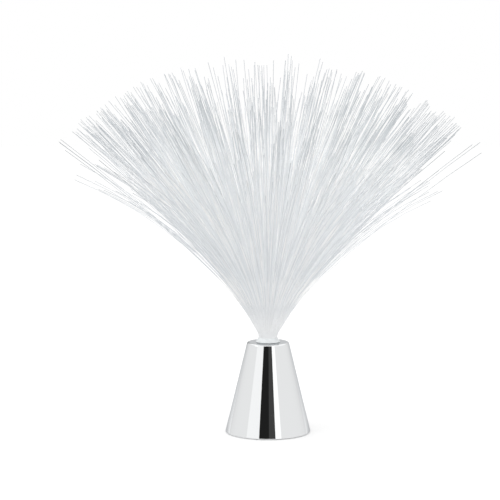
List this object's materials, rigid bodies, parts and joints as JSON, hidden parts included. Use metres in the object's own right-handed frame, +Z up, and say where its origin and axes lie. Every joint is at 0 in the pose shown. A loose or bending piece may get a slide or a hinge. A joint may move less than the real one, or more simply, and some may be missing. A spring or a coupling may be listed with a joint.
{
  "type": "fibre optic table lamp",
  "caption": "Battery table lamp: a mirror-plated cone with coloured LEDs inside and a plug-in spray of fine clear fibres that fans out into a dome.",
  "frame": {"origin": "centre of the circle the lamp stands on, at the undersides of its foot pads", "axes": "+Z up along the cone and the spray; -Y is the front; +X to the right seen from the front"},
  "size_m": [0.3676, 0.3541, 0.3312],
  "materials": {
    "plated_cone": "polished",
    "white_plastic": "satin",
    "clear_fibre": "gloss",
    "clear_resin": "gloss",
    "milky_plastic": "satin",
    "black_plastic": "satin",
    "grey_rubber": "matte",
    "black_rubber": "matte",
    "circuit_board": "satin",
    "red_lens": "gloss",
    "green_lens": "gloss",
    "blue_lens": "gloss",
    "plated_steel": "satin",
    "tinned_wire": "satin",
    "chip_black": "matte",
    "battery_wrap": "gloss",
    "red_insulation": "satin",
    "black_insulation": "satin"
  },
  "bodies": {
    "base": {"cone_shell": "plated_cone", "lamp_holder": "white_plastic", "holder_screws": "plated_steel", "reflector_sleeve": "white_plastic", "led_board": "circuit_board", "led_red": "red_lens", "led_green": "green_lens", "led_blue": "blue_lens", "led_leads": "tinned_wire", "control_chip": "chip_black", "board_resistors": "chip_black", "board_screws": "plated_steel", "base_plate": "black_plastic", "base_screws": "plated_steel", "foot_pads": "black_rubber", "battery_cells": "battery_wrap", "contact_positive": "plated_steel", "contact_negative": "plated_steel", "contact_links": "plated_steel", "contact_springs": "plated_steel", "door_hinge_pin": "plated_steel", "switch_housing": "plated_steel", "switch_terminals": "tinned_wire", "switch_screws": "plated_steel", "wire_positive": "red_insulation", "wire_switched": "red_insulation", "wire_negative": "black_insulation"},
    "grip": {"grip_ring": "grey_rubber"},
    "spray": {"ferrule": "white_plastic", "bundle_end": "clear_resin", "collar": "milky_plastic", "fibres_outer": "clear_fibre", "fibres_spread": "clear_fibre", "fibres_core": "clear_fibre", "fibres_inner": "clear_fibre", "fibres_low": "clear_fibre", "fibres_middle": "clear_fibre", "fibres_broad": "clear_fibre", "fibres_wide": "clear_fibre", "fibres_rim": "clear_fibre"},
    "door": {"battery_door": "black_plastic"},
    "knob": {"switch_knob": "black_plastic"}
  },
  "joints": [
    {"name": "spray_turn", "type": "hinge", "parent": "base", "child": "grip", "pos_m": [0, 0, 0.06225], "axis": [0, 0, 1], "continuous": true},
    {"name": "spray_pull", "type": "slide", "parent": "grip", "child": "spray", "axis": [0, 0, 1], "range_m": [0, 0.024]},
    {"name": "battery_door_hinge", "type": "hinge", "parent": "base", "child": "door", "pos_m": [0, 0.0278, 0.0022], "axis": [1, 0, 0], "range_deg": [0, 95]},
    {"name": "switch_slide", "type": "slide", "parent": "base", "child": "knob", "axis": [0, 1, 0], "range_m": [0, 0.0025]}
  ]
}
